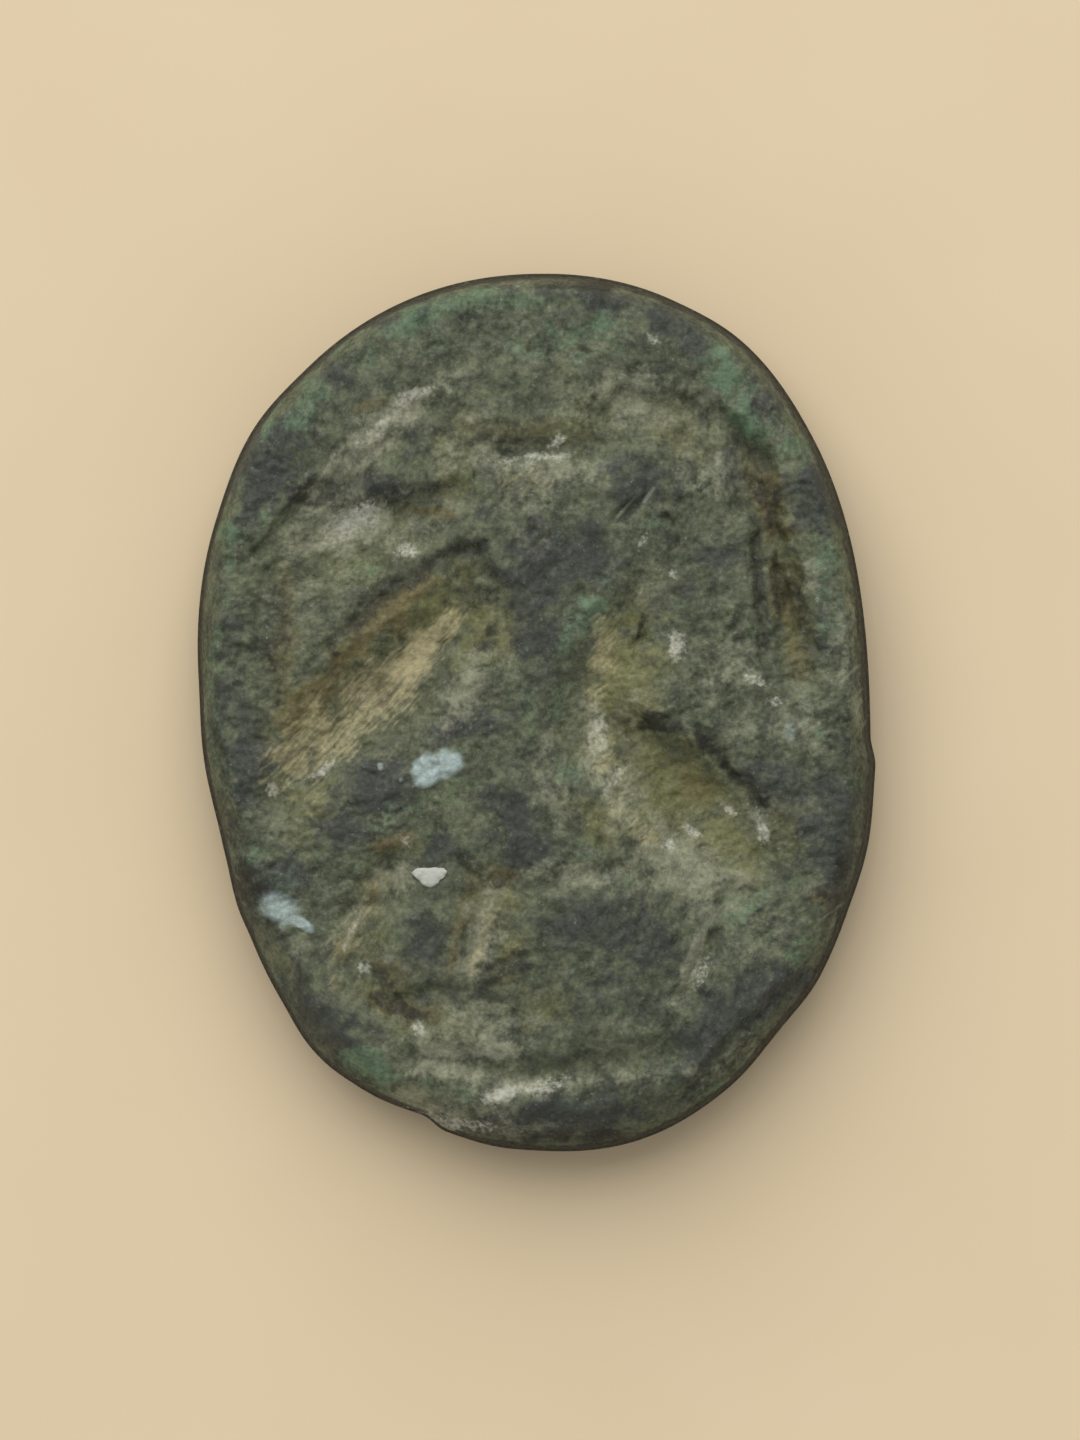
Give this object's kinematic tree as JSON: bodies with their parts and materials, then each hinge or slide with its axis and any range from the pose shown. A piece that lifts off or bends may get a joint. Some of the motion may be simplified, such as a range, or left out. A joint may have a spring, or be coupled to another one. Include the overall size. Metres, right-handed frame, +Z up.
{
  "type": "seal matrix",
  "caption": "Small oval metal seal matrix lying face up, with a winged beast on a ground line sunk into its slightly domed face and a plain flat back.",
  "frame": {"origin": "centre of the flat underside, under the middle of the outline's box", "axes": "+Z up out of the engraved face, +Y towards the top of the design, +X to the right of the design as seen from above"},
  "size_m": [0.0202, 0.026, 0.0042],
  "materials": {
    "patinated_bronze": "matt corroded copper alloy, dark grey with green patches, and tan earth left in the hollows"
  },
  "bodies": {
    "root": {"seal_matrix": "patinated_bronze"}
  },
  "joints": []
}
